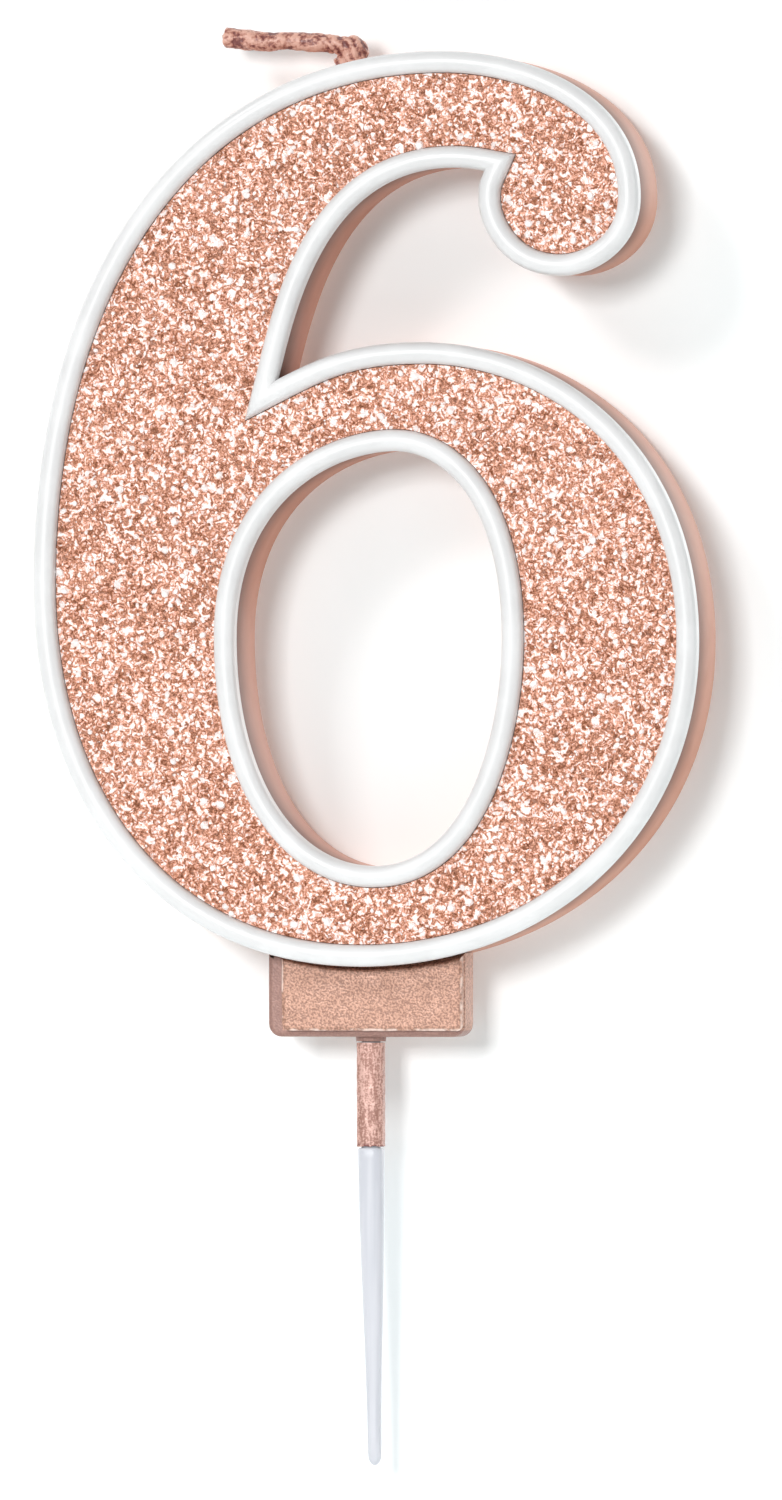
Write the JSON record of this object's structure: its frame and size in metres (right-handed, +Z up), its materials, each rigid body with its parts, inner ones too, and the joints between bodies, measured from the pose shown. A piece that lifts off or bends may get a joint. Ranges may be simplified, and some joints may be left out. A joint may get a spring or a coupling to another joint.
{
  "type": "number birthday candle",
  "caption": "Number birthday candle shaped as a six: glitter face, raised white bead edges, wax foot, bent wick and a plastic cake pick.",
  "frame": {"origin": "middle of the foot's underside, where the pick leaves it and the cake's top surface ends up", "axes": "+Z up along the pick, +X to the right as the numeral is read, -Y out of the glitter face towards the reader"},
  "size_m": [0.0521, 0.009, 0.1105],
  "materials": {
    "rose_wax": "satin dyed wax",
    "white_wax": "satin white wax",
    "glitter": "rose gold glitter, sparkling",
    "pearl_wax": "fine pearl-grain wax",
    "pick_plastic": "frosted white plastic",
    "rose_foil": "metallic rose gold dip coat",
    "wick_wax": "wrinkled copper-coloured wax",
    "wick_cotton": "twisted cotton"
  },
  "bodies": {
    "candle": {"numeral_body": "rose_wax", "outline_bead": "white_wax", "counter_bead": "white_wax", "glitter_panel": "glitter", "foot_block": "pearl_wax", "pick": "pick_plastic", "pick_sleeve": "rose_foil", "neck_collar": "pearl_wax", "wick_root_collar": "wick_wax", "core_strand_1": "wick_cotton", "core_strand_2": "wick_cotton", "core_strand_3": "wick_cotton"},
    "wick": {"wick_sheath": "wick_wax", "tail_strand_1": "wick_cotton", "tail_strand_2": "wick_cotton", "tail_strand_3": "wick_cotton"}
  },
  "joints": [
    {"name": "wick_bend", "type": "hinge", "parent": "candle", "child": "wick", "pos_m": [-0.00115, 0, 0.07575], "axis": [0, 1, 0], "range_deg": [0, 80]}
  ]
}
